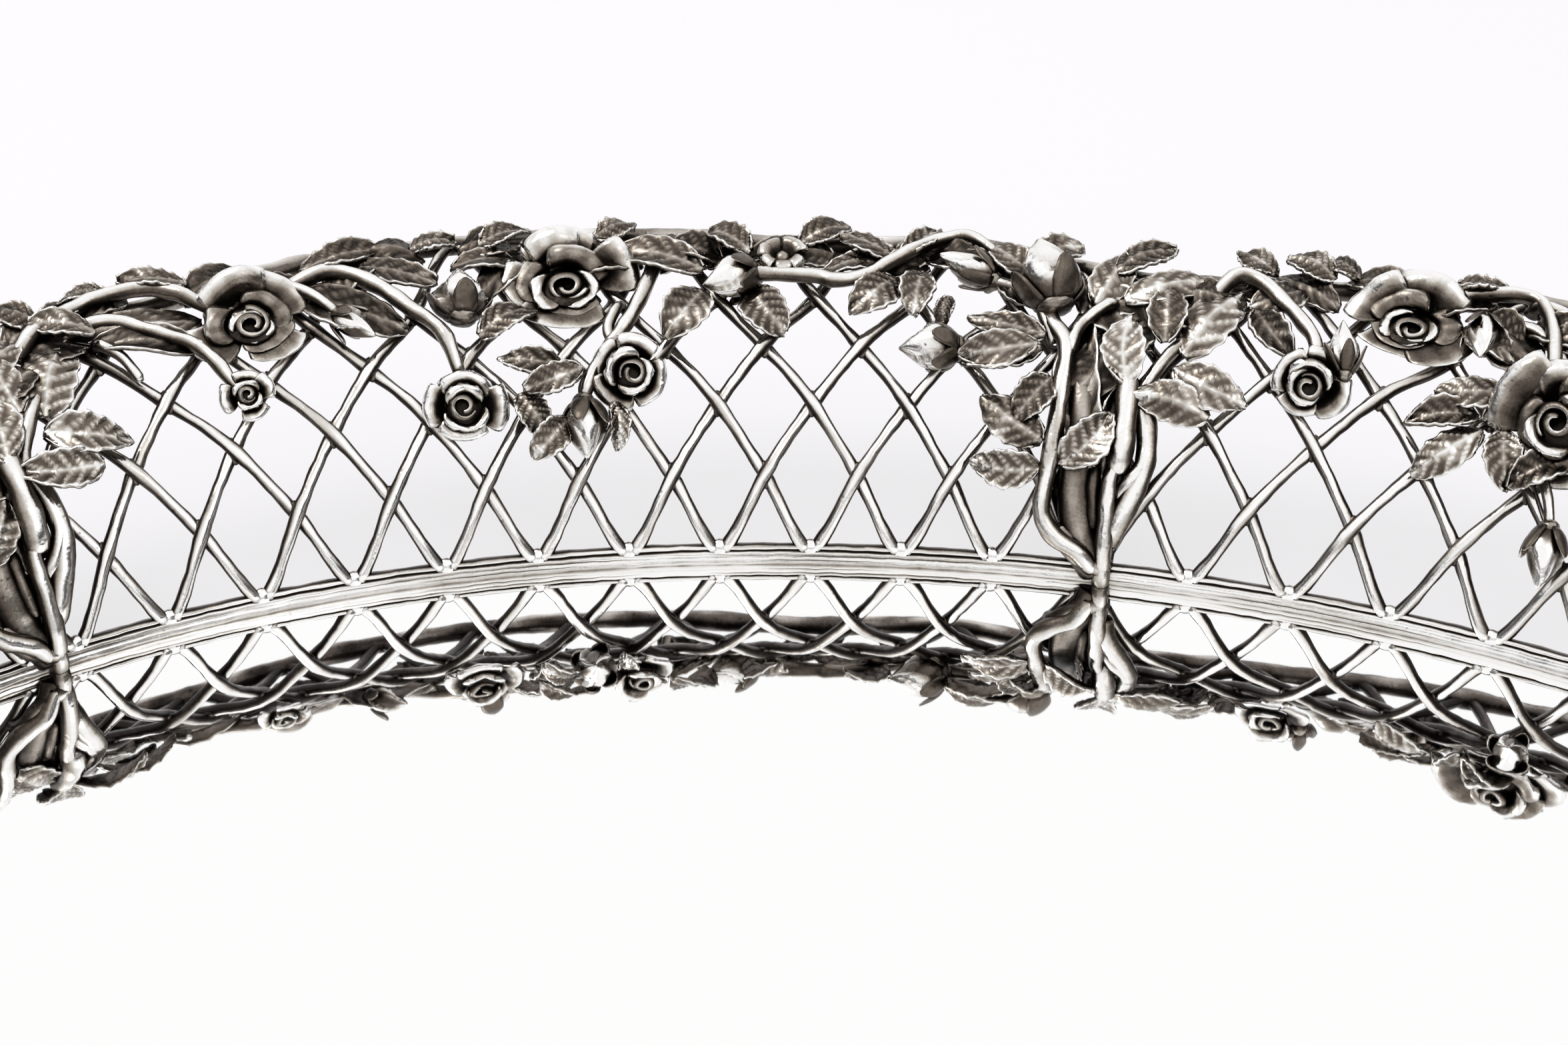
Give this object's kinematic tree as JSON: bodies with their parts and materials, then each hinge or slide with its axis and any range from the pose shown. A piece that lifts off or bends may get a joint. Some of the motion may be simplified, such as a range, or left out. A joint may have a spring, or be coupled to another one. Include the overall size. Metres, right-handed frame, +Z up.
{
  "type": "oval serving tray",
  "caption": "Oval polished silver tray with a flared openwork gallery of woven wires, applied roses, buds and leaves, and a branch for its rim.",
  "frame": {"origin": "underside of the flat oval floor, at the centre of the tray", "axes": "+X along the long axis of the oval, +Y along its short axis, +Z up out of the tray"},
  "size_m": [0.465, 0.3606, 0.048],
  "materials": {
    "polished_floor": "mirror-polished silver",
    "cast_gallery": "bright cast silver, darkened in the recesses",
    "cast_flowers": "cast silver with dark oxidised hollows between the petals"
  },
  "bodies": {
    "root": {"base_plate": "polished_floor", "bud_spray_1": "cast_flowers", "bud_spray_2": "cast_flowers", "bud_spray_3": "cast_flowers", "bud_spray_4": "cast_flowers", "bud_spray_5": "cast_flowers", "bud_spray_6": "cast_flowers", "gallery_section_1": "cast_gallery", "gallery_section_2": "cast_gallery", "gallery_section_3": "cast_gallery", "gallery_section_4": "cast_gallery", "gallery_section_5": "cast_gallery", "gallery_section_6": "cast_gallery", "grand_rose_1": "cast_flowers", "grand_rose_2": "cast_flowers", "grand_rose_3": "cast_flowers", "grand_rose_4": "cast_flowers", "grand_rose_5": "cast_flowers", "grand_rose_6": "cast_flowers", "large_rose_1": "cast_flowers", "large_rose_2": "cast_flowers", "large_rose_3": "cast_flowers", "large_rose_4": "cast_flowers", "large_rose_5": "cast_flowers", "large_rose_6": "cast_flowers", "left_rose_1": "cast_flowers", "left_rose_2": "cast_flowers", "left_rose_3": "cast_flowers", "left_rose_4": "cast_flowers", "left_rose_5": "cast_flowers", "left_rose_6": "cast_flowers", "right_rose_1": "cast_flowers", "right_rose_2": "cast_flowers", "right_rose_3": "cast_flowers", "right_rose_4": "cast_flowers", "right_rose_5": "cast_flowers", "right_rose_6": "cast_flowers", "rim_spray_1": "cast_flowers", "rim_spray_2": "cast_flowers", "rim_spray_3": "cast_flowers", "rim_spray_4": "cast_flowers", "rim_spray_5": "cast_flowers", "rim_spray_6": "cast_flowers", "small_rose_1": "cast_flowers", "small_rose_2": "cast_flowers", "small_rose_3": "cast_flowers", "small_rose_4": "cast_flowers", "small_rose_5": "cast_flowers", "small_rose_6": "cast_flowers", "trunk_spray_1": "cast_gallery", "trunk_spray_2": "cast_gallery", "trunk_spray_3": "cast_gallery", "trunk_spray_4": "cast_gallery", "trunk_spray_5": "cast_gallery", "trunk_spray_6": "cast_gallery"}
  },
  "joints": []
}
